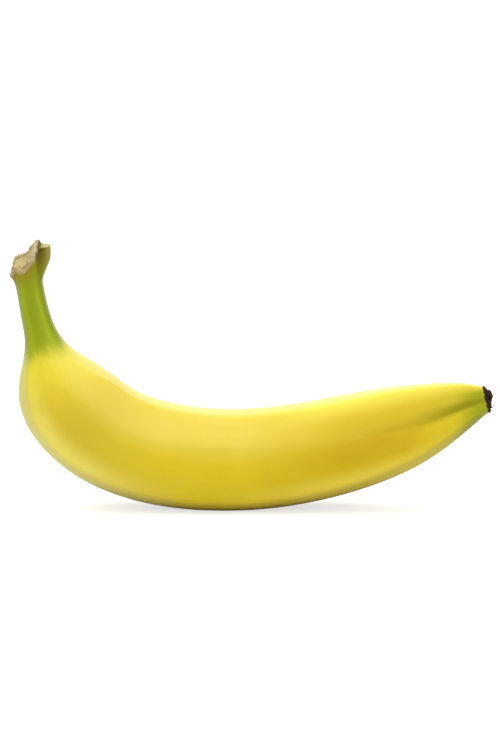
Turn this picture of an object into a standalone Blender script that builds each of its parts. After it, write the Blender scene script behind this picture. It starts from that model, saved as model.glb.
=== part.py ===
"""A ripe dessert banana, modelled as the one grown piece that it is.

It rests on the flattened middle of its outer curve, with the stalk rising at -X and the blossom end at +X.
The skin starts as a sphere primitive. Its rings become sections along the spine of the fruit. One pole
becomes the middle of the torn stalk end, and the other becomes the middle of the dried blossom end.
"""

import math
from collections import namedtuple

import bmesh
import bpy
from mathutils import Vector

MM = 0.001
Section = namedtuple("Section", "distance middle tangent outward half_depth")

# Spine and girth
# Each station is the middle of one section, from the torn stalk end to the blossom end, in millimetres.
# half_depth is half of the section's size in the plane of the bend.
Station = namedtuple("Station", "x z half_depth")
STATIONS = (
    Station(-74.4, 93.4, 5.0),
    Station(-74.1, 84.8, 4.95),
    Station(-72.4, 75.2, 5.4),
    Station(-70.0, 66.2, 5.8),
    Station(-67.6, 58.2, 9.5),
    Station(-64.3, 49.1, 17.3),
    Station(-56.9, 36.7, 19.9),
    Station(-38.7, 23.8, 19.9),
    Station(-12.8, 19.0, 19.7),
    Station(9.4, 18.6, 19.5),
    Station(32.1, 22.2, 19.2),
    Station(51.0, 27.0, 18.3),
    Station(67.2, 32.1, 16.3),
    Station(79.9, 37.0, 12.4),
    Station(89.4, 40.7, 8.9),
    Station(96.6, 42.4, 5.1),
)
WIDTH_SHARE = 0.93
STALK_LEAN = 2.4
BELLY_BOW = 1.2
TIP_LEAN = -1.6

# Ridges
# Angles are in degrees round the spine, from the outer curve towards -Y.
# Heights are shares of the section's radius. A negative height makes a groove.
# Each has three values: on the stalk, on the belly and on the taper.
# columns is the number of faces from this ridge to the next one.
Ridge = namedtuple("Ridge", "angles heights columns")
RIDGES = (
    Ridge((-15, 2, 20), (0.16, 0.0, 0.0), 10),
    Ridge((54, 50, 60), (0.16, 0.13, 0.22), 8),
    Ridge((92, 112, 90), (0.0, 0.05, -0.14), 9),
    Ridge((128, 148, 148), (0.16, 0.14, 0.28), 14),
    Ridge((205, 240, 225), (0.16, 0.12, 0.24), 9),
    Ridge((275, 312, 320), (0.16, 0.13, 0.24), 8),
)
CREST_ROUNDING = 4.0
CREST_FALL = 22.0
SHOULDER = (26.0, 66.0)
TAPER = (135.0, 215.0)

# Torn stalk end
# The break rises steeply at the outer side to a shelf, then steps up to a blunt top.
# A cleft on each side parts it from a knob at the inner side.
# Heights are above the first station. A side or a step is the two offsets between which it rises.
# BREAK_EDGE is a steep line: its height at the spine and its slope for each millimetre outwards.
BREAK_EDGE = (14.6, -2.7)
BREAK_SHELF = 0.2
BREAK_TOP = 5.6
BREAK_STEP = (-3.6, 2.0)
BREAK_SLOPE_FRONT = -0.5
BREAK_FOOT = -5.2
BREAK_HOLLOW = 0.8
BREAK_REACH = 23.0
KNOB_TOP = 6.2
KNOB_SLOPE_FRONT = -0.12
KNOB_SIDE = (-5.0, -3.9)
# A cleft is its angle round the spine, its width and its depth.
CLEFTS = ((138.0, 14.0, 1.3), (210.0, 9.0, 0.9))
CLEFT_LENGTH = 6.5
FLARE_OUTER = 2.3
FLARE_INNER = 3.8
FLARE_FACES = 0.9
FLARE_FALL_OUTER = 3.0
FLARE_FALL_INNER = (2.2, 11.0)

# Dried blossom end
CROWN_HEIGHT = 2.0
CROWN_RECESS = 0.5

# Resting flat
# The belly would reach this far below the surface if it weren't pressed flat.
REST_SINK = 0.9

# Mesh
SPINE_STEPS = 800
WALL_RINGS = 72
CAP_RINGS = 8
RING_CROWDING = 4.0
COLUMNS = sum(ridge.columns for ridge in RIDGES)
RINGS = WALL_RINGS + 2 * CAP_RINGS

# Colours
# The stalk is green, the peel is yellow, and the fruit's two ends are pale torn tissue and dark dried tissue.
FINISHES = {
    "peel": ((0.80, 0.56, 0.045, 1.0), 0.42),
    "green_stalk": ((0.27, 0.34, 0.020, 1.0), 0.45),
    "torn_stalk_end": ((0.62, 0.50, 0.24, 1.0), 0.85),
    "dried_blossom_end": ((0.030, 0.018, 0.012, 1.0), 0.80),
}
STALK_GREEN_TO = 32.0


def mix(first, second, share):
    return first + (second - first) * share


def smoothstep(low, high, value):
    share = min(1.0, max(0.0, (value - low) / (high - low)))
    return share * share * (3.0 - 2.0 * share)


def lesser(first, second, softness):
    """The smaller of two values, with the corner between them rounded."""
    gap = first - second
    return (first + second - math.sqrt(gap * gap + softness * softness)) / 2.0


def away_from(angle, other):
    """How far one angle is from another, between -180 and 180 degrees."""
    return (angle - other + 180.0) % 360.0 - 180.0


def spline(values, place):
    """(value, slope) of a smooth curve drawn close to the stations' values. place is a station's number."""
    index = min(int(place), len(values) - 2)
    t = place - index
    start = values[index]
    end = values[index + 1]
    before = values[index - 1] if index else 2.0 * start - end
    after = values[index + 2] if index + 2 < len(values) else 2.0 * end - start
    weights = ((1 - t) ** 3, 3 * t**3 - 6 * t * t + 4, 3 * t + 3 * t * t - 3 * t**3 + 1, t**3)
    slopes = (-((1 - t) ** 2), 3 * t * t - 4 * t, 1 + 2 * t - 3 * t * t, t * t)
    value = sum(w * v for w, v in zip(weights, (before, start, end, after))) / 6.0
    slope = sum(w * v for w, v in zip(slopes, (before, start, end, after))) / 2.0
    return value, slope


def lateral_place(distance, length):
    """How far the spine lies behind the plane of the bend: no real fruit is quite flat."""
    stalk = STALK_LEAN * (1.0 - smoothstep(0.0, SHOULDER[1], distance))
    belly = BELLY_BOW * (math.sin(math.pi * smoothstep(SHOULDER[0], length, distance)) - 1.0)
    return stalk + belly + TIP_LEAN * smoothstep(TAPER[0], length, distance)


def spine_sections():
    """Sections along the whole spine, close together."""
    found = []
    distance = 0.0
    last = len(STATIONS) - 1
    for step in range(SPINE_STEPS + 1):
        place = last * step / SPINE_STEPS
        x, run = spline([station.x for station in STATIONS], place)
        z, rise = spline([station.z for station in STATIONS], place)
        half_depth = spline([station.half_depth for station in STATIONS], place)[0]
        if found:
            distance += math.hypot(x - found[-1].middle.x, z - found[-1].middle.z)
        tangent = Vector((run, 0.0, rise)).normalized()
        outward = Vector((tangent.z, 0.0, -tangent.x))
        found.append(Section(distance, Vector((x, 0.0, z)), tangent, outward, half_depth))
    for section in found:
        section.middle.y = lateral_place(section.distance, distance)
    return found


def wall_sections(sections):
    """The sections where the wall's rings lie. Rings are closer together where the fruit is thin."""
    crowding = [0.0]
    for before, after in zip(sections, sections[1:]):
        step = after.distance - before.distance
        crowding.append(crowding[-1] + step / (after.half_depth + RING_CROWDING))
    found = []
    index = 0
    for ring in range(WALL_RINGS + 1):
        wanted = crowding[-1] * ring / WALL_RINGS
        while index < SPINE_STEPS and crowding[index] < wanted:
            index += 1
        found.append(sections[index])
    return found


def by_place(stalk_belly_taper, distance):
    """A value given for the stalk, the belly and the taper, at this distance."""
    stalk, belly, taper = stalk_belly_taper
    return mix(mix(stalk, belly, smoothstep(*SHOULDER, distance)), taper, smoothstep(*TAPER, distance))


def column_angle(column, distance):
    """The angle of a column of vertices. Columns follow the ridges, so each crest is one line of edges."""
    first = 0
    for index, ridge in enumerate(RIDGES):
        if column < first + ridge.columns:
            start = by_place(ridge.angles, distance)
            following = RIDGES[(index + 1) % len(RIDGES)]
            end = by_place(following.angles, distance)
            if end < start:
                end += 360.0
            return mix(start, end, (column - first) / ridge.columns)
        first += ridge.columns
    raise ValueError("there is no such column")


def ridge_relief(angle, distance):
    """The section's outline as a share of its plain radius: soft ridges with flatter faces between them."""
    relief = 1.0
    for ridge in RIDGES:
        away = away_from(angle, by_place(ridge.angles, distance))
        fall = (math.hypot(away, CREST_ROUNDING) - CREST_ROUNDING) / CREST_FALL
        relief += by_place(ridge.heights, distance) * math.exp(-fall)
    return relief


def flare(angle, distance):
    """How much wider than its station the torn end is."""
    in_plane = math.cos(math.radians(angle))
    outer_share = (1.0 + in_plane) / 2.0
    size = mix(FLARE_FACES, mix(FLARE_INNER, FLARE_OUTER, outer_share), in_plane**2)
    inner_fall = 1.0 - smoothstep(*FLARE_FALL_INNER, distance)
    return size * mix(inner_fall, math.exp(-distance / FLARE_FALL_OUTER), outer_share)


def cleft_depth(angle, distance):
    """How deep the clefts beside the knob are."""
    depth = sum(
        deep * math.exp(-((away_from(angle, place) / width) ** 2)) for place, width, deep in CLEFTS
    )
    return depth * math.exp(-((distance / CLEFT_LENGTH) ** 2))


def section_offset(angle, section):
    """(towards the outer curve, towards the front) of the outline from the spine, at this angle."""
    in_plane = (ridge_relief(0.0, section.distance) + ridge_relief(180.0, section.distance)) / 2.0
    radius = section.half_depth * ridge_relief(angle, section.distance) / in_plane
    radius += flare(angle, section.distance) - cleft_depth(angle, section.distance)
    turn = math.radians(angle)
    return radius * math.cos(turn), radius * math.sin(turn) * WIDTH_SHARE


def break_height(outer, front):
    """How far the torn stalk end stands above the first station."""
    edge = BREAK_EDGE[0] + BREAK_EDGE[1] * outer
    face = mix(BREAK_TOP, BREAK_SHELF, smoothstep(*BREAK_STEP, outer))
    slope = lesser(edge, face, 1.2) + BREAK_SLOPE_FRONT * front
    slope = -lesser(-slope, -BREAK_FOOT, 1.0)
    knob = KNOB_TOP + KNOB_SLOPE_FRONT * front
    return mix(knob, slope, smoothstep(*KNOB_SIDE, outer))


def crown_height(share, angle):
    """How far the dried blossom end stands past the last station."""
    crown = CROWN_HEIGHT * (1.0 - smoothstep(0.35, 0.88, share))
    lobes = 1.0 + 0.22 * math.cos(math.radians(3.0 * angle + 40.0)) * smoothstep(0.0, 0.4, share)
    recess = CROWN_RECESS * smoothstep(0.6, 0.85, share) * (1.0 - smoothstep(0.88, 1.0, share))
    return crown * lobes - recess


def skin_point(ring, column, walls):
    """The point of the skin that stands at a ring and a column of the sphere."""
    share = min(1.0, ring / CAP_RINGS, (RINGS - ring) / CAP_RINGS)
    section = walls[min(WALL_RINGS, max(0, ring - CAP_RINGS))]
    angle = column_angle(column, section.distance)
    outer, front = (share * offset for offset in section_offset(angle, section))
    point = section.middle + section.outward * outer + Vector((0.0, -front, 0.0))
    # The wall follows the break's rim, less and less with distance.
    rim_outer, rim_front = (share * offset for offset in section_offset(angle, walls[0]))
    reach = max(0.0, 1.0 - section.distance / BREAK_REACH) ** 1.5
    rise = break_height(rim_outer, rim_front) * reach
    if ring < CAP_RINGS:
        rise -= BREAK_HOLLOW * (1.0 - share * share)
    if ring > RINGS - CAP_RINGS:
        rise -= crown_height(share, angle)
    return point - section.tangent * rise


def press_flat(points):
    """Sets the fruit down on z = 0 and flattens the belly where it rests."""
    lowest = min(point.z for point in points)
    for point in points:
        point.z = max(0.0, point.z - lowest - REST_SINK)


def finish(name):
    colour, roughness = FINISHES[name]
    material = bpy.data.materials.new(name)
    material.use_nodes = True
    shader = material.node_tree.nodes["Principled BSDF"]
    shader.inputs["Base Color"].default_value = colour
    shader.inputs["Roughness"].default_value = roughness
    shader.inputs["Metallic"].default_value = 0.0
    material.diffuse_color = colour
    return material


def finish_of(ring, walls):
    """The finish of the band of faces that starts at this ring."""
    names = list(FINISHES)
    if ring < CAP_RINGS:
        return names.index("torn_stalk_end")
    if ring >= RINGS - CAP_RINGS:
        return names.index("dried_blossom_end")
    if walls[ring - CAP_RINGS].distance < STALK_GREEN_TO:
        return names.index("green_stalk")
    return names.index("peel")


def make_banana(collection):
    """The whole fruit, as one closed skin."""
    walls = wall_sections(spine_sections())
    shape = bmesh.new()
    bmesh.ops.create_uvsphere(shape, u_segments=COLUMNS, v_segments=RINGS, radius=1.0)
    rings = {}
    for vertex in shape.verts:
        ring = round(math.acos(max(-1.0, min(1.0, vertex.co.z))) / math.pi * RINGS)
        turn = math.atan2(vertex.co.y, vertex.co.x) / (2.0 * math.pi)
        column = round(turn * COLUMNS) % COLUMNS
        rings[vertex] = ring
        vertex.co = skin_point(ring, column, walls)
    press_flat([vertex.co for vertex in shape.verts])
    for vertex in shape.verts:
        vertex.co *= MM
    for face in shape.faces:
        face.material_index = finish_of(min(rings[vertex] for vertex in face.verts), walls)
    bmesh.ops.recalc_face_normals(shape, faces=shape.faces)
    mesh = bpy.data.meshes.new("banana")
    shape.to_mesh(mesh)
    shape.free()
    for name in FINISHES:
        mesh.materials.append(finish(name))
    mesh.shade_smooth()
    mesh.set_sharp_from_angle(angle=math.radians(50.0))
    banana = bpy.data.objects.new("banana", mesh)
    collection.objects.link(banana)
    return banana


def main():
    for old in list(bpy.data.objects):
        bpy.data.objects.remove(old)
    collection = bpy.data.collections.new("banana")
    bpy.context.scene.collection.children.link(collection)
    make_banana(collection)


main()
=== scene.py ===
"""A ripe dessert banana on a white sweep, lit softly from above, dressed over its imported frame."""

import math
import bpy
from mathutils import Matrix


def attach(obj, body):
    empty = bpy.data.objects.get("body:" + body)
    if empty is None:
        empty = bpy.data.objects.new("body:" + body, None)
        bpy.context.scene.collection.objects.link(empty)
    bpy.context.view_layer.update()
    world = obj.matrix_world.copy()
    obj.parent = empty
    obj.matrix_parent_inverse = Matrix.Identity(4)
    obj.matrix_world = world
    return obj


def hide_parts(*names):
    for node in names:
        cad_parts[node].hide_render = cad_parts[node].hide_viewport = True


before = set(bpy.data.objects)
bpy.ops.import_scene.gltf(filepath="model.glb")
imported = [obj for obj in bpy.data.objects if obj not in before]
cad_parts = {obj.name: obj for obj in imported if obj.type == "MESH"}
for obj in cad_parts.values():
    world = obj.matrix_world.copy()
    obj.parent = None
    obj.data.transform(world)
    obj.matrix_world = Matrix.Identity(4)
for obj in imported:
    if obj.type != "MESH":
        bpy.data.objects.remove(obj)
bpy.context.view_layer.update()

from types import SimpleNamespace

import bpy
from mathutils import Vector

# Camera
# A long lens almost level with the fruit, looking along +Y at the side where the stalk rises on the left.
# It stands far enough back for the whole fruit to fill the frame's width.
MM = 0.001
LENS = 100.0
SENSOR_WIDTH = 36.0
VIEW_DISTANCE = 781 * MM
VIEW_ELEVATION = 8.0
AIMED_AT = Vector((8.25, 0.0, 50.6)) * MM

camera = bpy.data.objects.new("Camera", bpy.data.cameras.new("Camera"))
camera.data.lens = LENS
camera.data.sensor_width = SENSOR_WIDTH
camera.data.clip_start = 0.01
elevation = math.radians(VIEW_ELEVATION)
camera.location = AIMED_AT + Vector((0.0, -math.cos(elevation), math.sin(elevation))) * VIEW_DISTANCE
camera.rotation_euler = (math.pi / 2 - elevation, 0.0, 0.0)
bpy.context.scene.collection.objects.link(camera)
bpy.context.scene.camera = camera
bpy.context.scene.view_settings.view_transform = "Standard"

# White sweep
# A sheet of matt white plastic: flat under the fruit, then curving up behind it with no visible edge.
# Its glow stands for a table that is lit through. Only the camera sees it, and hardly any shadow shows.
SWEEP_WIDTH = 6.0
SWEEP_FRONT = -3.0
SWEEP_CURVE_STARTS = 1.2
SWEEP_CURVE_RADIUS = 0.9
SWEEP_CURVE_STEPS = 24
SWEEP_TOP = 3.0
SWEEP_WHITE = (0.56, 0.56, 0.56, 1.0)
SWEEP_ROUGHNESS = 0.9
SWEEP_GLOSS = 0.1
SWEEP_GLOW = 0.66
SWEEP_GRAIN = 900.0
SWEEP_GRAIN_STRENGTH = 0.03

profile = [(SWEEP_FRONT, 0.0), (SWEEP_CURVE_STARTS, 0.0)]
for step in range(1, SWEEP_CURVE_STEPS + 1):
    turn = math.pi / 2 * step / SWEEP_CURVE_STEPS
    profile.append(
        (
            SWEEP_CURVE_STARTS + SWEEP_CURVE_RADIUS * math.sin(turn),
            SWEEP_CURVE_RADIUS * (1.0 - math.cos(turn)),
        )
    )
profile.append((SWEEP_CURVE_STARTS + SWEEP_CURVE_RADIUS, SWEEP_TOP))
points = [(side * SWEEP_WIDTH / 2, y, z) for y, z in profile for side in (-1, 1)]
faces = [(2 * i, 2 * i + 1, 2 * i + 3, 2 * i + 2) for i in range(len(profile) - 1)]
sweep_mesh = bpy.data.meshes.new("white_sweep")
sweep_mesh.from_pydata(points, [], faces)
sweep_mesh.shade_smooth()
sweep = bpy.data.objects.new("white_sweep", sweep_mesh)
bpy.context.scene.collection.objects.link(sweep)
card = bpy.data.materials.new("white_plastic")
card.use_nodes = True
card_shader = card.node_tree.nodes["Principled BSDF"]
card_shader.inputs["Base Color"].default_value = SWEEP_WHITE
card_shader.inputs["Roughness"].default_value = SWEEP_ROUGHNESS
card_shader.inputs["Specular IOR Level"].default_value = SWEEP_GLOSS
card_shader.inputs["Emission Color"].default_value = (1.0, 1.0, 1.0, 1.0)
card_glow = card.node_tree.nodes.new("ShaderNodeMath")
card_glow.operation = "MULTIPLY"
card_glow.inputs[1].default_value = SWEEP_GLOW
card_rays = card.node_tree.nodes.new("ShaderNodeLightPath")
card.node_tree.links.new(card_rays.outputs["Is Camera Ray"], card_glow.inputs[0])
card.node_tree.links.new(card_glow.outputs[0], card_shader.inputs["Emission Strength"])
card_grain = card.node_tree.nodes.new("ShaderNodeTexNoise")
card_grain.inputs["Scale"].default_value = SWEEP_GRAIN
card_coordinates = card.node_tree.nodes.new("ShaderNodeTexCoord")
card_bump = card.node_tree.nodes.new("ShaderNodeBump")
card_bump.inputs["Strength"].default_value = SWEEP_GRAIN_STRENGTH
card.node_tree.links.new(card_coordinates.outputs["Object"], card_grain.inputs["Vector"])
card.node_tree.links.new(card_grain.outputs["Fac"], card_bump.inputs["Height"])
card.node_tree.links.new(card_bump.outputs["Normal"], card_shader.inputs["Normal"])
sweep_mesh.materials.append(card)

# Studio light
# Three soft boxes in a dim white room: a wide one overhead, a larger one behind the camera, and a long
# one that whitens the sweep behind the fruit.
LIGHTS = (
    ("overhead", (-0.12, 0.02, 0.80), (1.2, 0.9), 8.4, (0.0, 0.0, 0.05)),
    ("front", (0.1, -1.30, 0.60), (1.6, 1.2), 8.9, (0.0, 0.0, 0.05)),
    ("backdrop", (0.0, 1.00, 1.60), (2.4, 0.4), 30.0, (0.0, 2.6, 0.4)),
)
ROOM_BRIGHTNESS = 0.38

for name, place, size, watts, lit in LIGHTS:
    light = bpy.data.lights.new(name, "AREA")
    light.shape = "RECTANGLE"
    light.size, light.size_y = size
    light.energy = watts
    lamp = bpy.data.objects.new(name, light)
    lamp.location = place
    lamp.rotation_euler = (Vector(lit) - Vector(place)).to_track_quat("-Z", "Y").to_euler()
    bpy.context.scene.collection.objects.link(lamp)
room = bpy.data.worlds.new("white_room")
room.use_nodes = True
room.node_tree.nodes["Background"].inputs["Color"].default_value = (1.0, 1.0, 1.0, 1.0)
room.node_tree.nodes["Background"].inputs["Strength"].default_value = ROOM_BRIGHTNESS
bpy.context.scene.world = room

# Peel
# The skin of the whole fruit, from the stalk's torn end to the dried blossom end, grown as one surface.
# A tree bends a cylinder's rings along the spine and draws each one as a section with soft ridges.
# Sizes are millimetres until the tree's last steps. Turns are degrees from the outer curve towards -Y.
SPINE = (
    (-74.4, 93.4, 5.0),
    (-74.1, 84.8, 4.95),
    (-72.4, 75.2, 5.4),
    (-70.0, 66.2, 5.8),
    (-67.6, 58.2, 9.5),
    (-64.3, 49.1, 17.3),
    (-56.9, 36.7, 19.9),
    (-38.7, 23.8, 19.9),
    (-12.8, 19.0, 19.7),
    (9.4, 18.6, 19.5),
    (32.1, 22.2, 19.2),
    (51.0, 27.0, 18.3),
    (67.2, 32.1, 16.3),
    (79.9, 37.0, 12.4),
    (89.4, 40.7, 8.9),
    (96.6, 42.4, 5.1),
)
RIDGES = (
    ((-15, 2, 20), (0.16, 0.0, 0.0)),
    ((54, 50, 60), (0.16, 0.13, 0.22)),
    ((92, 112, 90), (0.0, 0.05, -0.14)),
    ((128, 148, 148), (0.16, 0.14, 0.28)),
    ((205, 240, 225), (0.16, 0.12, 0.24)),
    ((275, 312, 320), (0.16, 0.13, 0.24)),
)


class Number:
    """A number that a node tree works out. Sums written with it become Math nodes."""

    def __init__(self, tree, socket):
        self.tree = tree
        self.socket = socket

    def math(self, operation, *others):
        node = self.tree.nodes.new("ShaderNodeMath")
        node.operation = operation
        for entry, value in zip(node.inputs, (self, *others)):
            feed(self.tree, value, entry)
        return Number(self.tree, node.outputs[0])

    def __add__(self, other):
        return self.math("ADD", other)

    def __sub__(self, other):
        return self.math("SUBTRACT", other)

    def __mul__(self, other):
        return self.math("MULTIPLY", other)

    def __truediv__(self, other):
        return self.math("DIVIDE", other)

    def __pow__(self, other):
        return self.math("POWER", other)

    def __rsub__(self, other):
        return self * -1.0 + other

    def __neg__(self):
        return self * -1.0

    __radd__ = __add__
    __rmul__ = __mul__

    def bell(self, width):
        """1 where the number is 0, falling to 0 on both sides within about twice this width."""
        return (-((self / width) ** 2.0)).math("EXPONENT")


def feed(tree, value, entry):
    """Links a node's input to what a tree works out, or sets it to a plain value."""
    if isinstance(value, Number):
        tree.links.new(value.socket, entry)
    elif isinstance(value, bpy.types.NodeSocket):
        tree.links.new(value, entry)
    else:
        entry.default_value = value


def node_with(tree, kind, settings=None, **entries):
    """A node of this kind. Its inputs are named as Blender names them, with _ for a space."""
    node = tree.nodes.new(kind)
    for name, value in (settings or {}).items():
        setattr(node, name, value)
    for name, value in entries.items():
        feed(tree, value, node.inputs[name.replace("_", " ")])
    return node


def onset(tree, value, low, high, before=0.0, after=1.0):
    """A smooth step from one value to another as a number passes from low to high."""
    node = node_with(
        tree, "ShaderNodeMapRange", {"interpolation_type": "SMOOTHSTEP"},
        Value=value, From_Min=low, From_Max=high, To_Min=before, To_Max=after,
    )
    return Number(tree, node.outputs["Result"])


def fade(tree, value, low, high):
    """1 until a number reaches the low one, then smoothly down to 0 at the high one."""
    return onset(tree, value, low, high, 1.0, 0.0)


def mixed(first, second, share):
    return first + (second - first) * share


def lesser(first, second, softness):
    """The smaller of two numbers, with the corner between them rounded."""
    gap = first - second
    return (first + second - (gap * gap + softness * softness).math("SQRT")) * 0.5


def vector_of(tree, x, y, z):
    return node_with(tree, "ShaderNodeCombineXYZ", X=x, Y=y, Z=z).outputs[0]


def parts_of(tree, vector):
    node = node_with(tree, "ShaderNodeSeparateXYZ", Vector=vector)
    return [Number(tree, socket) for socket in node.outputs]


def noise(tree, vector, scale, detail=2.0, roughness=0.5):
    """Soft noise from about -1 to 1."""
    node = node_with(
        tree, "ShaderNodeTexNoise", Vector=vector, Scale=scale, Detail=detail, Roughness=roughness
    )
    return Number(tree, node.outputs[0]) * 2.0 - 1.0


def new_tree(name, entries, result):
    """An empty Geometry Nodes tree with named inputs. Returns it with its group's inputs."""
    tree = bpy.data.node_groups.new(name, "GeometryNodeTree")
    for entry, (kind, value) in entries.items():
        socket = tree.interface.new_socket(entry, in_out="INPUT", socket_type=kind)
        if value is not None:
            socket.default_value = value
    tree.interface.new_socket(result[0], in_out="OUTPUT", socket_type=result[1])
    given = tree.nodes.new("NodeGroupInput")
    return tree, {
        entry: Number(tree, given.outputs[entry]) if kind == "NodeSocketFloat" else given.outputs[entry]
        for entry, (kind, value) in entries.items()
    }


def finish_tree(tree, value):
    """Links the tree's result and sets its nodes out in rows, so that it can be read in the editor."""
    ending = tree.nodes.new("NodeGroupOutput")
    feed(tree, value, ending.inputs[0])
    for index, node in enumerate(tree.nodes):
        node.location = (200.0 * (index % 24), -260.0 * (index // 24))


def grown(name, tree, values):
    """The plain mesh object that a tree makes from these values."""
    piece = bpy.data.objects.new(name, bpy.data.meshes.new(name))
    bpy.context.scene.collection.objects.link(piece)
    modifier = piece.modifiers.new("Growth", "NODES")
    modifier.node_group = tree
    for item in tree.interface.items_tree:
        if item.name in values:
            modifier[item.identifier] = values[item.name]
    view = bpy.context.evaluated_depsgraph_get()
    mesh = bpy.data.meshes.new_from_object(piece.evaluated_get(view))
    piece.modifiers.remove(modifier)
    piece.data = mesh
    mesh.name = name
    return piece


def make_spine():
    """A smooth curve drawn close to the stations. Its radius is half of the fruit's depth there."""
    stations = [Vector(station) for station in SPINE]
    before = 2.0 * stations[0] - stations[1]
    after = 2.0 * stations[-1] - stations[-2]
    stations = [before, *stations, after]
    curve = bpy.data.curves.new("spine", "CURVE")
    curve.dimensions = "3D"
    line = curve.splines.new("NURBS")
    line.points.add(len(stations) - 1)
    line.order_u = 4
    line.resolution_u = 48
    for point, (x, z, half_depth) in zip(line.points, stations):
        point.co = (x, 0.0, z, 1.0)
        point.radius = half_depth
    spine = bpy.data.objects.new("spine", curve)
    bpy.context.scene.collection.objects.link(spine)
    return spine


def make_ridge_tree():
    """How much one ridge lifts the section at a given turn, as a share of its radius."""
    tree, given = new_tree(
        "Ridge lift",
        {
            "Turn": ("NodeSocketFloat", 0.0),
            "Crest": ("NodeSocketFloat", 0.0),
            "Height": ("NodeSocketFloat", 0.1),
            "Crest rounding": ("NodeSocketFloat", 3.0),
            "Crest fall": ("NodeSocketFloat", 22.0),
        },
        ("Lift", "NodeSocketFloat"),
    )
    away = (given["Turn"] - given["Crest"]).math("WRAP", 180.0, -180.0)
    rounding = given["Crest rounding"]
    fall = ((away * away + rounding * rounding).math("SQRT") - rounding) / given["Crest fall"]
    finish_tree(tree, given["Height"] * (-fall).math("EXPONENT"))
    return tree


def make_section_tree(ridge_tree):
    """The section's outline at a given turn, as a share of its plain radius: all ridges together."""
    tree, given = new_tree(
        "Section outline",
        {
            "Turn": ("NodeSocketFloat", 0.0),
            "Onto belly": ("NodeSocketFloat", 0.0),
            "Onto taper": ("NodeSocketFloat", 0.0),
        },
        ("Outline", "NodeSocketFloat"),
    )
    outline = None
    for crests, heights in RIDGES:
        sizes = []
        for stalk, belly, taper in (crests, heights):
            along_stalk = given["Onto belly"] * (belly - stalk) + stalk
            sizes.append(mixed(along_stalk, taper, given["Onto taper"]))
        ridge = node_with(
            tree, "GeometryNodeGroup", {"node_tree": ridge_tree},
            Turn=given["Turn"], Crest=sizes[0], Height=sizes[1],
        )
        lift = Number(tree, ridge.outputs[0])
        outline = lift + 1.0 if outline is None else outline + lift
    finish_tree(tree, outline)
    return tree


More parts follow.
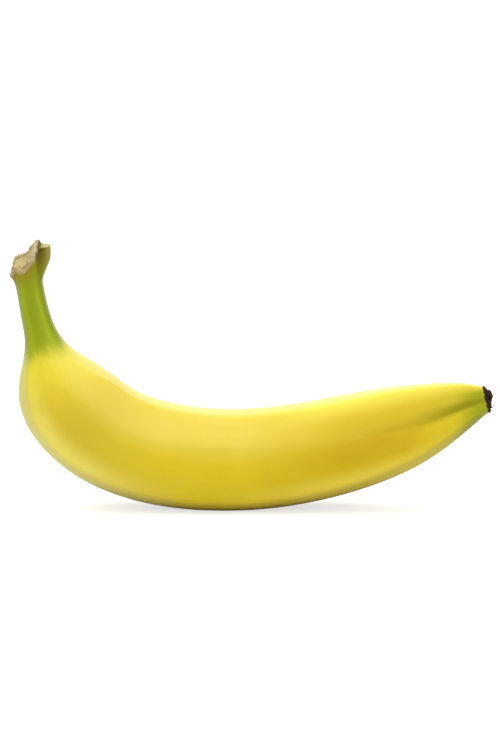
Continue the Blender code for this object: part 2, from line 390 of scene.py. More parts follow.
def make_peel_tree(section_tree, skin):
    """The whole skin, from a cylinder whose rings follow the spine."""
    tree, given = new_tree(
        "Banana peel",
        {
            "Spine": ("NodeSocketObject", None),
            "Faces around": ("NodeSocketInt", 240),
            "Faces along": ("NodeSocketInt", 290),
            "End rings": ("NodeSocketInt", 50),
            "Width share": ("NodeSocketFloat", 0.93),
            "Stalk lean": ("NodeSocketFloat", 2.4),
            "Belly bow": ("NodeSocketFloat", 1.2),
            "Tip lean": ("NodeSocketFloat", -1.6),
            "Unevenness": ("NodeSocketFloat", 0.28),
            "Outer flare": ("NodeSocketFloat", 2.3),
            "Inner flare": ("NodeSocketFloat", 3.8),
            "Flare at faces": ("NodeSocketFloat", 0.9),
            "Outer flare fall": ("NodeSocketFloat", 3.0),
            "Break edge": ("NodeSocketFloat", 14.6),
            "Break steepness": ("NodeSocketFloat", 2.7),
            "Break shelf": ("NodeSocketFloat", 0.2),
            "Break top": ("NodeSocketFloat", 5.6),
            "Break tilt": ("NodeSocketFloat", 0.5),
            "Break foot": ("NodeSocketFloat", 5.2),
            "Knob top": ("NodeSocketFloat", 6.2),
            "Cleft depth": ("NodeSocketFloat", 1.3),
            "Rest sink": ("NodeSocketFloat", 0.9),
        },
        ("Geometry", "NodeSocketGeometry"),
    )
    tube = node_with(
        tree, "GeometryNodeMeshCylinder", {"fill_type": "TRIANGLE_FAN"},
        Vertices=given["Faces around"], Side_Segments=given["Faces along"],
        Fill_Segments=given["End rings"], Radius=1.0, Depth=2.0,
    )
    x, y, z = parts_of(tree, tree.nodes.new("GeometryNodeInputPosition").outputs[0])
    share = (x * x + y * y).math("SQRT").math("MINIMUM", 1.0)
    turn = y.math("ARCTAN2", x)
    degrees = turn.math("DEGREES")

    # Rings stand closer together towards both ends of the fruit.
    step = (z + 1.0) * 0.5
    factor = step - (step * (2.0 * math.pi)).math("SINE") * (0.6 / (2.0 * math.pi))
    spine = node_with(
        tree, "GeometryNodeObjectInfo", {"transform_space": "ORIGINAL"}, Object=given["Spine"]
    )
    length = Number(tree, node_with(
        tree, "GeometryNodeCurveLength", Curve=spine.outputs["Geometry"]
    ).outputs[0])
    station = node_with(
        tree, "GeometryNodeSampleCurve", {"mode": "FACTOR"},
        Curves=spine.outputs["Geometry"],
        Value=tree.nodes.new("GeometryNodeInputRadius").outputs[0], Factor=factor,
    )
    half_depth = Number(tree, station.outputs[0])
    middle_x, _, middle_z = parts_of(tree, station.outputs["Position"])
    tangent_x, _, tangent_z = parts_of(tree, station.outputs["Tangent"])
    distance = factor * length
    onto_belly = onset(tree, distance, 26.0, 66.0)
    onto_taper = onset(tree, distance, 135.0, 215.0)

    def outline_at(angle):
        section = node_with(
            tree, "GeometryNodeGroup", {"node_tree": section_tree},
            Turn=angle, Onto_belly=onto_belly, Onto_taper=onto_taper,
        )
        return Number(tree, section.outputs[0])

    outline = outline_at(degrees)
    in_plane = (outline_at(0.0) + outline_at(180.0)) * 0.5
    cosine = turn.math("COSINE")
    sine = turn.math("SINE")
    outer_share = (cosine + 1.0) * 0.5
    full_flare = mixed(given["Inner flare"], given["Outer flare"], outer_share)
    full_flare = mixed(given["Flare at faces"], full_flare, cosine * cosine)
    inner_fall = fade(tree, distance, 2.2, 11.0)
    outer_fall = (-(distance / given["Outer flare fall"])).math("EXPONENT")
    plain_radius = half_depth * outline / in_plane
    radius = plain_radius + full_flare * mixed(inner_fall, outer_fall, outer_share)

    # The straightened fruit: across the spine in x and y, and along it in z.
    from_rim = (1.0 - share) * mixed(half_depth, radius, share)
    at_torn_end = fade(tree, z, -0.9999, -0.99)
    at_blossom_end = onset(tree, z, 0.99, 0.9999)
    along = distance - from_rim * at_torn_end + from_rim * at_blossom_end
    straight = vector_of(tree, radius * cosine * share, radius * sine * share, along)

    # Low dents and swellings, and fine lines along the fruit.
    broad = (noise(tree, straight, 0.035, 1.0) - 0.8) * given["Unevenness"]
    line_places = vector_of(tree, cosine * radius, sine * radius, distance * 0.045)
    lines = noise(tree, line_places, 0.42, 2.0) * 0.07
    neck = onset(tree, distance, 14.0, 34.0) * fade(tree, distance, 40.0, 62.0)
    neck_lines = noise(tree, line_places, 0.8, 2.0) * neck * 0.07
    radius = radius + (broad + lines + neck_lines) * onset(tree, half_depth, 3.0, 12.0, 0.35, 1.0)

    # Clefts part the knob from the rest of the stalk's end.
    cleft = ((degrees - 138.0).bell(14.0) + (degrees + 150.0).bell(9.0) * 0.7) * given["Cleft depth"]
    radius = radius - cleft * (distance / 6.5).bell(1.0)
    outer = radius * cosine * share
    front = radius * sine * share * given["Width share"]

    # The break rises steeply from the outer side to a shelf, and steps up to a blunt top beside the knob.
    # The wall follows the break's rim, less and less with distance.
    rim_radius = plain_radius + full_flare - cleft
    rim_outer = rim_radius * cosine * share
    rim_front = rim_radius * sine * share * given["Width share"]
    step_up = onset(tree, rim_outer, -3.6, 2.0, given["Break top"], given["Break shelf"])
    edge = given["Break edge"] - rim_outer * given["Break steepness"]
    slope = lesser(edge, step_up, 1.2) - rim_front * given["Break tilt"]
    slope = -lesser(-slope, given["Break foot"], 1.0)
    knob = fade(tree, rim_outer, -5.0, -3.9)
    height = mixed(slope, given["Knob top"] - rim_front * 0.12, knob)
    reach = (1.0 - distance / 23.0).math("MAXIMUM", 0.0) ** 1.5
    ragged = noise(tree, straight, 0.55, 3.0, 0.6) * (distance / 3.0).bell(1.0)
    inside = 1.0 - share * share
    hollow = inside * 0.8 + (outer + 4.4).bell(0.7) * inside * 2.2
    lip_height = noise(tree, straight, 0.5, 2.0) * 0.45 + 0.6
    lip = (share - 0.9).bell(0.055) * lip_height * onset(tree, outer, -4.5, -3.0)
    fibres = noise(tree, straight, 1.6, 3.0, 0.65) * inside * onset(tree, share, 0.0, 0.3) * 0.7
    torn_rise = (lip + fibres - hollow) * at_torn_end

    # The dried blossom end is a low rough crown in a shallow recess.
    crown = fade(tree, share, 0.35, 0.88)
    recess = onset(tree, share, 0.6, 0.85, 0.0, 0.4) * fade(tree, share, 0.88, 1.0)
    crust = noise(tree, straight, 0.55, 4.0, 0.6) * 0.6 * onset(tree, share, 0.7, 1.0, 1.0, 0.2)
    tip_rise = (crown - recess + crust) * at_blossom_end
    rise = (height + ragged * 0.45) * reach + torn_rise - tip_rise

    # The stalk and the tip lean a little out of the plane of the bend.
    lean = fade(tree, distance, 0.0, 66.0) * given["Stalk lean"]
    bow = (onset(tree, distance, 26.0, length) * math.pi).math("SINE") - 1.0
    lean = lean + bow * given["Belly bow"] + onto_taper * given["Tip lean"]
    place = vector_of(
        tree,
        middle_x + tangent_z * outer - tangent_x * rise,
        lean - front,
        middle_z - tangent_x * outer - tangent_z * rise,
    )
    crest = onset(tree, outline, 1.06, 1.16)
    facts = (
        ("straight", "FLOAT_VECTOR", straight),
        ("crest", "FLOAT", crest),
        ("to_tip", "FLOAT", length - along),
    )
    body = tube.outputs["Mesh"]
    for name, kind, value in facts:
        body = node_with(
            tree, "GeometryNodeStoreNamedAttribute", {"data_type": kind, "domain": "POINT"},
            Geometry=body, Name=name, Value=value,
        ).outputs[0]
    body = node_with(tree, "GeometryNodeSetPosition", Geometry=body, Position=place).outputs[0]
    body = node_with(tree, "GeometryNodeFlipFaces", Mesh=body).outputs[0]

    # The fruit is set down on the surface, and its belly gives a little where it rests.
    position = tree.nodes.new("GeometryNodeInputPosition").outputs[0]
    x, y, z = parts_of(tree, position)
    extent = node_with(tree, "GeometryNodeAttributeStatistic", Geometry=body, Attribute=z)
    lowest = Number(tree, extent.outputs["Min"])
    settled = (z - lowest - given["Rest sink"]).math("MAXIMUM", 0.0)
    body = node_with(
        tree, "GeometryNodeSetPosition", Geometry=body, Position=vector_of(tree, x, y, settled)
    ).outputs[0]
    body = node_with(tree, "GeometryNodeTransform", Geometry=body, Scale=(MM, MM, MM)).outputs[0]
    body = node_with(tree, "GeometryNodeSetShadeSmooth", Geometry=body).outputs[0]
    body = node_with(tree, "GeometryNodeRealizeInstances", Geometry=body).outputs[0]
    body = node_with(tree, "GeometryNodeSetMaterial", Geometry=body, Material=skin).outputs[0]
    finish_tree(tree, body)
    return tree


def blend(tree, share, first, second):
    """A colour between two colours."""
    node = tree.nodes.new("ShaderNodeMix")
    node.data_type = "RGBA"
    feed(tree, share, node.inputs[0])
    feed(tree, first, node.inputs[6])
    feed(tree, second, node.inputs[7])
    return node.outputs[2]


# Colours of the peel, named for where they lie on it or for the painted shade, highlight or sheen that they
# stand for
YELLOW = (0.71, 0.53, 0.012, 1.0)
BRIGHT_YELLOW = (0.76, 0.585, 0.02, 1.0)
PALE_STREAK = (0.76, 0.60, 0.05, 1.0)
BROWN_STREAK = (0.60, 0.40, 0.01, 1.0)
FRONT_SHADE_YELLOW = (0.57, 0.37, 0.004, 1.0)
LOWER_LIT_YELLOW = (0.86, 0.68, 0.075, 1.0)
UNDERSIDE_SHADE_YELLOW = (0.50, 0.31, 0.004, 1.0)
CONTACT_SHADOW_BROWN = (0.19, 0.085, 0.002, 1.0)
UPPER_SHEEN = (0.74, 0.59, 0.115, 1.0)
BELOW_SHOULDER_SHADE = (0.54, 0.38, 0.03, 1.0)
OUTER_CURVE_HIGHLIGHT = (0.98, 0.85, 0.17, 1.0)
UPPER_CREST_HIGHLIGHT = (0.90, 0.78, 0.11, 1.0)
BESIDE_CREST_SHADE = (0.62, 0.45, 0.006, 1.0)
NECK_FLUSH = (0.62, 0.60, 0.05, 1.0)
STALK_GREEN = (0.24, 0.29, 0.003, 1.0)
STALK_CREST_GREEN = (0.36, 0.44, 0.015, 1.0)
STALK_STREAK_GREEN = (0.30, 0.36, 0.006, 1.0)
TIP_FLUSH = (0.46, 0.42, 0.012, 1.0)
TIP_GREEN = (0.30, 0.34, 0.012, 1.0)
FOLD_SHADE_OLIVE = (0.24, 0.20, 0.002, 1.0)
FLECK_BROWN = (0.30, 0.16, 0.03, 1.0)
BREAK_OLIVE = (0.30, 0.22, 0.012, 1.0)
CLEFT_SHADE_AND_BROWNING = (0.14, 0.13, 0.004, 1.0)
CLEFT_SPOT_SHADE_AND_BROWNING = (0.07, 0.045, 0.004, 1.0)
KNOB_SIDE = (0.45, 0.36, 0.12, 1.0)
PEEL_EDGE_SHEEN = (0.95, 0.86, 0.36, 1.0)
STALK_EDGE_SHEEN = (0.62, 0.66, 0.24, 1.0)


def places_on_skin(tree):
    """Where a point lies on the straightened fruit, with the streaks and patches that its colours follow.
    Along and to_tip are millimetres from the break and from the blossom end, and turn is in degrees."""
    at = SimpleNamespace()
    at.straight = node_with(tree, "ShaderNodeAttribute", {"attribute_name": "straight"}).outputs["Vector"]
    at.crest, at.to_tip = (
        Number(tree, node_with(tree, "ShaderNodeAttribute", {"attribute_name": name}).outputs["Fac"])
        for name in ("crest", "to_tip")
    )
    at.outer, at.front, at.along = parts_of(tree, at.straight)
    at.turn = at.front.math("ARCTAN2", at.outer).math("DEGREES")
    at.turn_either_way = at.turn.math("ABSOLUTE")
    streak_places = vector_of(tree, at.outer, at.front, at.along * 0.06)
    at.broad = noise(tree, at.straight, 0.045, 2.0)
    at.streaks = noise(tree, streak_places, 0.35, 3.0, 0.6)
    at.fine_streaks = noise(tree, streak_places, 1.6, 2.0, 0.6)
    at.green_edge = at.along + at.streaks * 2.2 + at.broad * 2.0 - at.crest * 2.0
    at.on_stalk = fade(tree, at.green_edge, 28.0, 36.6)
    at.upper_crest = onset(tree, at.turn_either_way, 125.0, 152.0) * fade(tree, at.to_tip, 50.0, 85.0)
    return at


def yellow_peel(tree, at):
    """Ripe yellow, with painted shade deeper on the front and below, and painted sheen and highlights paler on
    the upper faces.
    """
    yellow = blend(tree, at.broad * 0.9 + 0.5, YELLOW, BRIGHT_YELLOW)
    yellow = blend(tree, (at.streaks * 0.2).math("MAXIMUM", 0.0), yellow, PALE_STREAK)
    yellow = blend(tree, (at.fine_streaks * 0.15).math("MAXIMUM", 0.0), yellow, BROWN_STREAK)

    # Painted shade: deeper on the front of the further half, where the front faces get the least light
    deep = (at.turn - 92.0).bell(32.0) * onset(tree, at.along, 115.0, 180.0)
    deep = deep * onset(tree, at.to_tip, 10.0, 40.0)
    yellow = blend(tree, deep * 0.9, yellow, FRONT_SHADE_YELLOW)
    # Painted light: paler on the face below it, towards the tip, where the floor's bounce lights it
    lower = fade(tree, at.turn, 52.0, 74.0) * fade(tree, at.to_tip, 60.0, 110.0)
    lower = lower * onset(tree, at.to_tip, 12.0, 45.0, 0.6, 1.0)
    yellow = blend(tree, lower * 0.9, yellow, LOWER_LIT_YELLOW)

    # Painted shade: deeper still along the underside, and a brown painted contact shadow along the line that
    # the fruit rests on
    under = fade(tree, at.turn_either_way, 14.0, 42.0) * onset(tree, at.along, 70.0, 100.0)
    under = under * onset(tree, at.to_tip, 45.0, 80.0)
    yellow = blend(tree, under * 0.9, yellow, UNDERSIDE_SHADE_YELLOW)
    contact_shadow = at.turn.bell(19.0) * onset(tree, at.along, 80.0, 110.0) * onset(tree, at.to_tip, 30.0, 60.0)
    yellow = blend(tree, contact_shadow * 0.85, yellow, CONTACT_SHADOW_BROWN)

    # A paler painted sheen on the upper faces and the shoulder, where the light from above falls, and a duller
    # yellow of painted shade on the front below the shoulder
    upper = onset(tree, at.turn_either_way, 90.0, 124.0)
    shoulder = onset(tree, at.along, 36.0, 46.0) * fade(tree, at.along, 60.0, 110.0)
    front_face = (at.turn - 92.0).bell(30.0)
    upper_sheen = upper.math("MAXIMUM", shoulder * (1.0 - front_face * 0.9)) * (at.broad * 0.3 + 0.6)
    upper_sheen = upper_sheen * onset(tree, at.to_tip, 50.0, 100.0, 0.4, 1.0)
    yellow = blend(tree, upper_sheen, yellow, UPPER_SHEEN)
    below_shoulder_shade = front_face * (at.along - 62.0).bell(20.0)
    yellow = blend(tree, below_shoulder_shade * 0.4, yellow, BELOW_SHOULDER_SHADE)

    # Painted highlights: palest on the outer curve below the stalk, and along the upper crest towards the tip
    outer_curve_highlight = fade(tree, at.turn_either_way, 44.0, 78.0) * (at.along - 66.0).bell(26.0)
    yellow = blend(tree, outer_curve_highlight * 0.92, yellow, OUTER_CURVE_HIGHLIGHT)
    yellow = blend(tree, at.upper_crest * 0.8, yellow, UPPER_CREST_HIGHLIGHT)
    # Painted shade: a darker line just below the upper crest, towards the tip
    beside_crest_shade = (at.turn - 120.0).bell(11.0) * fade(tree, at.to_tip, 50.0, 85.0)
    beside_crest_shade = beside_crest_shade * onset(tree, at.to_tip, 6.0, 22.0)
    return blend(tree, beside_crest_shade * 0.6, yellow, BESIDE_CREST_SHADE)


def with_green_ends(tree, at, peel):
    """Adds the green of the stalk and of the tip, which reaches further along the ridges."""
    peel = blend(tree, fade(tree, at.green_edge, 30.0, 58.0) * 0.5, peel, NECK_FLUSH)
    green = blend(tree, at.crest * 0.8, STALK_GREEN, STALK_CREST_GREEN)
    green = blend(tree, at.streaks * 0.3 + 0.2, green, STALK_STREAK_GREEN)
    peel = blend(tree, at.on_stalk, peel, green)
    below_fold = fade(tree, at.turn, 50.0, 90.0)
    # The tip's green keeps back from the upper crest, so that its painted highlight stays, and reaches further
    # below the fold
    tip_edge = at.to_tip + at.streaks * 2.0 + at.crest * 2.0 + at.upper_crest * 12.0 - below_fold * 6.5
    peel = blend(tree, onset(tree, tip_edge, 0.0, 30.0, 0.5, 0.0), peel, TIP_FLUSH)
    return blend(tree, onset(tree, tip_edge, 1.0, 14.0, 0.8, 0.0), peel, TIP_GREEN)


def with_dull_knob(tree, at, peel):
    """Adds olive brown below the break, a dark cleft of painted shade and browning running out down the stalk,
    and a dull knob beside it.
    """
    olive = fade(tree, at.along + at.streaks * 1.5, 1.5, 9.0)
    peel = blend(tree, olive * 0.85, peel, BREAK_OLIVE)
    # Painted shade with some browning in the cleft, below the knob
    cleft = (at.turn - 139.0).bell(17.0) * fade(tree, at.along, 3.0, 15.0)
    peel = blend(tree, cleft * 0.75, peel, CLEFT_SHADE_AND_BROWNING)
    knob_side = onset(tree, at.turn, 148.0, 162.0) * fade(tree, at.along, 2.0, 9.0)
    peel = blend(tree, knob_side * 0.6, peel, KNOB_SIDE)
    # A darker spot of painted shade and browning where the cleft meets the break
    cleft_spot_shade_and_browning = (at.turn - 141.0).bell(14.0) * fade(tree, at.along, -0.5, 6.0)
    return blend(tree, cleft_spot_shade_and_browning * 0.95, peel, CLEFT_SPOT_SHADE_AND_BROWNING)


def with_fold_shade_and_flecks(tree, at, peel):
    """Adds olive in the fold above the lower front ridge, towards the tip, partly the fruit's green and partly
    painted shade, and a few tiny brown flecks.
    """
    fold = onset(tree, at.turn, 81.0, 97.0) * fade(tree, at.turn, 99.0, 120.0)
    fold = fold * onset(tree, at.to_tip, 10.0, 36.0, 0.68, 0.0)
    fold = fold * onset(tree, at.to_tip, 0.0, 9.0, 0.45, 1.0)
    peel = blend(tree, fold, peel, FOLD_SHADE_OLIVE)
    cells = node_with(tree, "ShaderNodeTexVoronoi", Vector=at.straight, Scale=0.22)
    fleck = fade(tree, Number(tree, cells.outputs["Distance"]), 0.035, 0.07)
    chosen = onset(tree, parts_of(tree, cells.outputs["Color"])[0], 0.80, 0.84)
    return blend(tree, fleck * chosen * 0.45, peel, FLECK_BROWN)


def with_edge_sheen(tree, at, peel):
    """Makes the peel paler where it is seen edge on, a painted sheen standing for the reflection on its wax,
    except along the underside.
    """
    facing = Number(tree, node_with(tree, "ShaderNodeLayerWeight", Blend=0.5).outputs["Facing"])
    underside = fade(tree, at.turn_either_way, 60.0, 110.0) * onset(tree, at.along, 80.0, 115.0)
    # Painted sheen on the parts seen edge on
    edge = onset(tree, facing, 0.4, 0.92) * (1.0 - underside)
    return blend(tree, edge * 0.6, peel, blend(tree, at.on_stalk, PEEL_EDGE_SHEEN, STALK_EDGE_SHEEN))


# Colours of the torn and the dried tissue
TORN_SHADOW = (0.39, 0.31, 0.12, 1.0)
TORN_CREAM = (0.64, 0.54, 0.29, 1.0)
STRING_BROWN = (0.20, 0.13, 0.05, 1.0)
LIP_CREAM = (0.80, 0.63, 0.42, 1.0)
CRACK_BROWN = (0.11, 0.065, 0.015, 1.0)
STEP_CREAM = (0.62, 0.60, 0.42, 1.0)
KNOB_TISSUE = (0.36, 0.34, 0.12, 1.0)
KNOB_GAP_BROWN = (0.10, 0.065, 0.007, 1.0)
CRUST_BLACK = (0.008, 0.005, 0.003, 1.0)
CRUST_BROWN = (0.042, 0.022, 0.009, 1.0)


def torn_tissue(tree, at):
    """Where the torn tissue lies, and its colour: cream with darker strings and cracks, and a dull knob."""
    rim = at.along + noise(tree, at.straight, 0.7, 3.0) * 0.9
    knob = fade(tree, at.outer, -4.9, -4.1)
    knob_wall = knob * onset(tree, at.along, -0.9, 0.3, 0.1, 1.0)
    torn = fade(tree, rim, 0.6, 2.4) * (1.0 - knob_wall)
    patches = noise(tree, at.straight, 1.3, 3.0, 0.7) * 0.6 + 0.4
    tissue = blend(tree, patches, TORN_SHADOW, TORN_CREAM)
    strings = node_with(tree, "ShaderNodeTexVoronoi", Vector=at.straight, Scale=1.1)
    string = fade(tree, Number(tree, strings.outputs["Distance"]), 0.12, 0.34)
    string = string * onset(tree, at.along, -1.6, -1.0, 0.55, 0.0)
    tissue = blend(tree, string, tissue, STRING_BROWN)
    tissue = blend(tree, (at.along + 0.6).bell(0.5) * 0.8, tissue, LIP_CREAM)
    crack = (at.along + 1.3 + noise(tree, at.straight, 1.0, 2.0) * 0.5).bell(0.16)
    crack = crack * onset(tree, noise(tree, at.straight, 0.45, 1.0), -0.2, 0.15)
    tissue = blend(tree, crack * 0.8, tissue, CRACK_BROWN)
    tissue = blend(tree, onset(tree, at.outer, -3.4, -0.5, 0.5, 0.0), tissue, STEP_CREAM)
    tissue = blend(tree, knob * 0.65, tissue, KNOB_TISSUE)
    tissue = blend(tree, (at.outer + 4.3).bell(1.0) * 0.95, tissue, KNOB_GAP_BROWN)
    return torn, tissue


def dried_tissue(tree, at):
    """Where the dried tissue lies, with a ragged edge, and its black brown colour."""
    dry_edge = at.to_tip + noise(tree, at.straight, 0.8, 3.0) * 0.8
    crust = blend(tree, noise(tree, at.straight, 1.8, 3.0, 0.7) * 0.6 + 0.3, CRUST_BLACK, CRUST_BROWN)
    return fade(tree, dry_edge, 0.3, 0.8), crust


# How the peel shines, how light spreads in it, and how deep its pores are
PEEL_GLOSS = 0.35
PEEL_GLOSS_TINT = (1.0, 0.86, 0.35, 1.0)
PEEL_GLOW_THROUGH = 0.12
PEEL_GLOW_SPREAD = (1.0, 0.6, 0.15)
PEEL_GLOW_DEPTH = 2.0 * MM
WAX_ROUGHNESS = 0.40
DRY_ROUGHNESS = 0.85
PORE_DEPTH = 0.04 * MM


def make_peel_material():
    """Waxy peel, green at both ends, with torn tissue at one end and dried tissue at the other."""
    skin = bpy.data.materials.new("banana_skin")
    skin.use_nodes = True
    tree = skin.node_tree
    shader = tree.nodes["Principled BSDF"]
    at = places_on_skin(tree)
    peel = with_green_ends(tree, at, yellow_peel(tree, at))
    peel = with_dull_knob(tree, at, peel)
    peel = with_fold_shade_and_flecks(tree, at, peel)
    peel = with_edge_sheen(tree, at, peel)
    torn, tissue = torn_tissue(tree, at)
    dried, crust = dried_tissue(tree, at)
    colour = blend(tree, dried, blend(tree, torn, peel, tissue), crust)
    feed(tree, colour, shader.inputs["Base Color"])

    # Waxy where it is peel, dry where it is tissue
    dry = torn.math("MAXIMUM", dried)
    wax = at.streaks * 0.05 + at.broad * 0.04 + WAX_ROUGHNESS
    feed(tree, mixed(wax, DRY_ROUGHNESS, dry), shader.inputs["Roughness"])
    shader.inputs["Specular IOR Level"].default_value = PEEL_GLOSS
    shader.inputs["Specular Tint"].default_value = PEEL_GLOSS_TINT
    shader.inputs["Subsurface Weight"].default_value = PEEL_GLOW_THROUGH
    shader.inputs["Subsurface Radius"].default_value = PEEL_GLOW_SPREAD
    shader.inputs["Subsurface Scale"].default_value = PEEL_GLOW_DEPTH

    # Pores all over, and fibres on the dry tissue
    pores = noise(tree, at.straight, 2.6, 2.0, 0.6) * 0.5
    fibre_grain = noise(tree, at.straight, 3.0, 3.0, 0.7) * dry * 6.0
    relief = pores + at.fine_streaks * 0.8 + fibre_grain
    bump = node_with(tree, "ShaderNodeBump", Height=relief * PORE_DEPTH, Strength=0.6, Distance=1.0)
    feed(tree, bump.outputs["Normal"], shader.inputs["Normal"])
    return skin


spine = make_spine()
peel = grown(
    "banana_peel",
    make_peel_tree(make_section_tree(make_ridge_tree()), make_peel_material()),
    {"Spine": spine},
)
bpy.data.objects.remove(spine)
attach(peel, "root")
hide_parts("banana")

# Torn fibres
# The strings of the stalk, which tore when the fruit was pulled from its bunch. They are thin bundles of
# plant fibre, pale at the foot and browned at the point, and stand on the torn face, mostly near its rim.


def random_number(tree, low, high, seed):
    node = tree.nodes.new("FunctionNodeRandomValue")
    node.data_type = "FLOAT"
    feed(tree, low, node.inputs[2])
    feed(tree, high, node.inputs[3])
    feed(tree, seed, node.inputs["Seed"])
    return Number(tree, node.outputs[1])


def skin_in_millimetres(tree, skin):
    """The finished peel, enlarged so that a tree can work in millimetres."""
    found = node_with(tree, "GeometryNodeObjectInfo", {"transform_space": "ORIGINAL"}, Object=skin)
    larger = node_with(
        tree, "GeometryNodeTransform", Geometry=found.outputs["Geometry"], Scale=(1 / MM, 1 / MM, 1 / MM)
    )
    return larger.outputs[0]


def named_value(tree, name, kind="FLOAT"):
    return node_with(tree, "GeometryNodeInputNamedAttribute", {"data_type": kind}, Name=name).outputs[0]


def bent_spike(tree, faces, bend):
    """A spike one millimetre long and wide that bends over. Its attribute runs from 0 to 1 at the point."""
    cone = node_with(
        tree, "GeometryNodeMeshCone", {"fill_type": "TRIANGLE_FAN"},
        Vertices=faces, Side_Segments=5, Radius_Top=0.2, Radius_Bottom=0.5, Depth=1.0,
    ).outputs["Mesh"]
    x, y, z = parts_of(tree, tree.nodes.new("GeometryNodeInputPosition").outputs[0])
    marked = node_with(
        tree, "GeometryNodeStoreNamedAttribute", {"data_type": "FLOAT", "domain": "POINT"},
        Geometry=cone, Name="to_point", Value=z,
    ).outputs[0]
    place = vector_of(tree, x + z * z * bend, y, z)
    return node_with(tree, "GeometryNodeSetPosition", Geometry=marked, Position=place).outputs[0]


def spread(tree, points, spike, direction, thickness, length, seed):
    """A spike on each point, turned towards a direction, each with its own length and twist."""
    aimed = node_with(
        tree, "FunctionNodeAlignRotationToVector", {"axis": "Z"}, Vector=direction
    ).outputs[0]
    twist = vector_of(tree, 0.0, 0.0, random_number(tree, 0.0, 2.0 * math.pi, seed))
    twisted = node_with(
        tree, "FunctionNodeRotateRotation", {"rotation_space": "LOCAL"}, Rotation=aimed, Rotate_By=twist
    ).outputs[0]
    width = random_number(tree, 0.6, 1.3, seed + 1) * thickness
    size = vector_of(tree, width, width, random_number(tree, 0.35, 1.0, seed + 2) * length)
    return node_with(
        tree, "GeometryNodeInstanceOnPoints",
        Points=points, Instance=spike, Rotation=twisted, Scale=size,
    ).outputs[0]


def finish_pieces(tree, pieces, material):
    """Ends a tree of small pieces: plain mesh, back in metres, with its material."""
    body = node_with(tree, "GeometryNodeRealizeInstances", Geometry=pieces).outputs[0]
    body = node_with(tree, "GeometryNodeTransform", Geometry=body, Scale=(MM, MM, MM)).outputs[0]
    body = node_with(tree, "GeometryNodeSetShadeSmooth", Geometry=body).outputs[0]
    body = node_with(tree, "GeometryNodeSetMaterial", Geometry=body, Material=material).outputs[0]
    finish_tree(tree, body)


def make_fibre_tree(material):
    """Short bent fibres on the torn face, except at its highest and outermost points, which set the size."""
    tree, given = new_tree(
        "Torn fibres",
        {
            "Skin": ("NodeSocketObject", None),
            "Fibres on each square millimetre": ("NodeSocketFloat", 6.0),
            "Fibre thickness": ("NodeSocketFloat", 0.26),
            "Fibre length": ("NodeSocketFloat", 0.9),
            "Bend": ("NodeSocketFloat", 0.7),
            "Seed": ("NodeSocketInt", 5),
        },
        ("Geometry", "NodeSocketGeometry"),
    )
    skin = skin_in_millimetres(tree, given["Skin"])
    outer, front, along = parts_of(tree, named_value(tree, "straight", "FLOAT_VECTOR"))
    x, _, z = parts_of(tree, tree.nodes.new("GeometryNodeInputPosition").outputs[0])
    near_rim = (along + 0.5).bell(0.45) + (along + 2.0).bell(1.2) * 0.12
    on_face = fade(tree, along, -0.15, -0.05) * onset(tree, outer, -4.6, -4.1)
    within = fade(tree, z, 97.5, 99.0) * onset(tree, x, -80.7, -80.0)
    points = node_with(
        tree, "GeometryNodeDistributePointsOnFaces", {"distribute_method": "RANDOM"},
        Mesh=skin, Density=near_rim * on_face * within * given["Fibres on each square millimetre"],
        Seed=given["Seed"],
    )
    normal_x, normal_y, normal_z = parts_of(tree, points.outputs["Normal"])
    direction = vector_of(
        tree,
        normal_x * 0.7 + random_number(tree, -0.45, 0.45, 11),
        normal_y * 0.7 + random_number(tree, -0.45, 0.45, 12),
        normal_z * 0.7 + random_number(tree, -0.1, 0.6, 13),
    )
    fibres = spread(
        tree, points.outputs["Points"], bent_spike(tree, 6, given["Bend"]), direction,
        given["Fibre thickness"], given["Fibre length"], 21,
    )
    finish_pieces(tree, fibres, material)
    return tree


def make_dry_fibre_material(name, foot, point, roughness):
    """Dried plant fibre that darkens towards its point, with a fine lengthwise grain."""
    material = bpy.data.materials.new(name)
    material.use_nodes = True
    tree = material.node_tree
    shader = tree.nodes["Principled BSDF"]
    to_point = Number(
        tree, node_with(tree, "ShaderNodeAttribute", {"attribute_name": "to_point"}).outputs["Fac"]
    )
    places = tree.nodes.new("ShaderNodeTexCoord").outputs["Object"]
    patches = noise(tree, places, 1400.0, 2.0)
    grain = noise(tree, places, 6000.0, 2.0)
    feed(tree, blend(tree, to_point + patches * 0.35, foot, point), shader.inputs["Base Color"])
    shader.inputs["Roughness"].default_value = roughness
    shader.inputs["Specular IOR Level"].default_value = 0.2
    bump = node_with(tree, "ShaderNodeBump", Height=grain * (0.05 * MM), Strength=0.8, Distance=1.0)
    feed(tree, bump.outputs["Normal"], shader.inputs["Normal"])
    return material


fibre_material = make_dry_fibre_material(
    "torn_fibre", (0.50, 0.40, 0.21, 1.0), (0.34, 0.24, 0.11, 1.0), 0.85
)
fibres = grown("torn_fibres", make_fibre_tree(fibre_material), {"Skin": peel})
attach(fibres, "root")

# Blossom remains
# What is left of the flower at the fruit's end: a cluster of black stubs, with dried scales and strands.
# All of it is dead tissue that shrank and hardened on the fruit, so it is grown on and not fixed there.


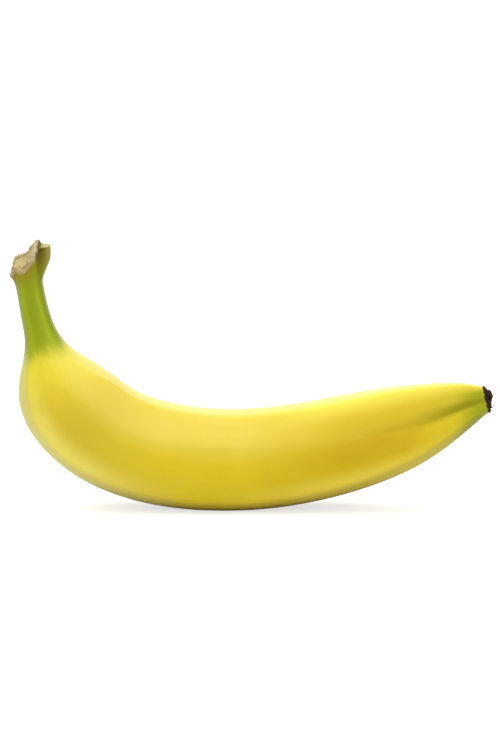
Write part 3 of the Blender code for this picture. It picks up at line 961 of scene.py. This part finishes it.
def make_blossom_tree(material):
    """Dried scales and strands round a cluster of ragged stubs, on the fruit's blossom end."""
    tree, given = new_tree(
        "Blossom remains",
        {
            "Skin": ("NodeSocketObject", None),
            "Gap between scales": ("NodeSocketFloat", 0.85),
            "Scale width": ("NodeSocketFloat", 1.7),
            "Scale height": ("NodeSocketFloat", 1.5),
            "Stub width": ("NodeSocketFloat", 2.6),
            "Stub height": ("NodeSocketFloat", 2.2),
            "Gap between stubs": ("NodeSocketFloat", 1.35),
            "Strand thickness": ("NodeSocketFloat", 0.24),
            "Strand length": ("NodeSocketFloat", 2.6),
            "Raggedness": ("NodeSocketFloat", 0.45),
            "Furthest x": ("NodeSocketFloat", 98.9),
            "Seed": ("NodeSocketInt", 3),
        },
        ("Geometry", "NodeSocketGeometry"),
    )
    skin = skin_in_millimetres(tree, given["Skin"])
    to_tip = Number(tree, named_value(tree, "to_tip"))
    normal = tree.nodes.new("GeometryNodeInputNormal").outputs[0]
    middle = fade(tree, to_tip, -2.6, -2.5)
    place, facing = (
        node_with(
            tree, "GeometryNodeAttributeStatistic", {"data_type": "FLOAT_VECTOR"},
            Geometry=skin, Selection=middle, Attribute=value,
        ).outputs["Mean"]
        for value in (tree.nodes.new("GeometryNodeInputPosition").outputs[0], normal)
    )
    facing_x, facing_y, facing_z = parts_of(tree, facing)

    # Scales stand round the edge of the end, and lean outwards from its middle.
    centre_x, centre_y, centre_z = parts_of(tree, place)
    x, y, z = parts_of(tree, tree.nodes.new("GeometryNodeInputPosition").outputs[0])
    points = node_with(
        tree, "GeometryNodeDistributePointsOnFaces", {"distribute_method": "POISSON"},
        Mesh=skin, Distance_Min=given["Gap between scales"], Density_Max=4.0,
        Density_Factor=(to_tip + 1.1).bell(0.75) * fade(tree, to_tip, -0.35, -0.15),
        Seed=given["Seed"],
    )
    direction = vector_of(
        tree,
        facing_x * 1.2 + (x - centre_x) * 0.1 + random_number(tree, -0.3, 0.3, 31),
        facing_y * 1.2 + (y - centre_y) * 0.1 + random_number(tree, -0.5, 0.5, 32),
        facing_z * 1.2 + (z - centre_z) * 0.1 + random_number(tree, -0.5, 0.5, 33),
    )
    scales = spread(
        tree, points.outputs["Points"], bent_spike(tree, 9, 0.3), direction,
        given["Scale width"], given["Scale height"], 41,
    )

    # The style and the flower's parts round it have dried to a cluster of stubs, taller above the middle.
    stub_points = node_with(
        tree, "GeometryNodeDistributePointsOnFaces", {"distribute_method": "POISSON"},
        Mesh=skin, Distance_Min=given["Gap between stubs"], Density_Max=4.0,
        Density_Factor=fade(tree, to_tip, -2.2, -1.9), Seed=given["Seed"],
    ).outputs["Points"]
    taller = onset(tree, z - centre_z, -2.4, 1.2, 0.45, 1.0)
    stubs = spread(
        tree, stub_points, bent_spike(tree, 14, 0.15), direction,
        given["Stub width"], given["Stub height"] * taller, 61,
    )

    # A few thin strands curl out between the scales.
    strand_points = node_with(
        tree, "GeometryNodeDistributePointsOnFaces", {"distribute_method": "RANDOM"},
        Mesh=skin, Density=(to_tip + 2.0).bell(1.2) * 0.16, Seed=given["Seed"],
    ).outputs["Points"]
    strands = spread(
        tree, strand_points, bent_spike(tree, 6, 0.6), direction,
        given["Strand thickness"], given["Strand length"], 51,
    )

    joined = tree.nodes.new("GeometryNodeJoinGeometry")
    for part in (scales, stubs, strands):
        tree.links.new(part, joined.inputs[0])
    body = node_with(tree, "GeometryNodeRealizeInstances", Geometry=joined.outputs[0]).outputs[0]
    position = tree.nodes.new("GeometryNodeInputPosition").outputs[0]
    x, y, z = parts_of(tree, position)
    torn = given["Raggedness"]
    ragged = vector_of(
        tree,
        (x + noise(tree, position, 1.1, 3.0, 0.7) * torn).math("MINIMUM", given["Furthest x"]),
        y + noise(tree, vector_of(tree, y, z, x), 1.1, 3.0, 0.7) * torn,
        z + noise(tree, vector_of(tree, z, x, y), 1.1, 3.0, 0.7) * torn,
    )
    body = node_with(tree, "GeometryNodeSetPosition", Geometry=body, Position=ragged).outputs[0]
    finish_pieces(tree, body, material)
    return tree


blossom_material = make_dry_fibre_material(
    "dried_blossom", (0.009, 0.005, 0.003, 1.0), (0.065, 0.036, 0.018, 1.0), 0.8
)
blossom = grown("blossom_remains", make_blossom_tree(blossom_material), {"Skin": peel})
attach(blossom, "root")
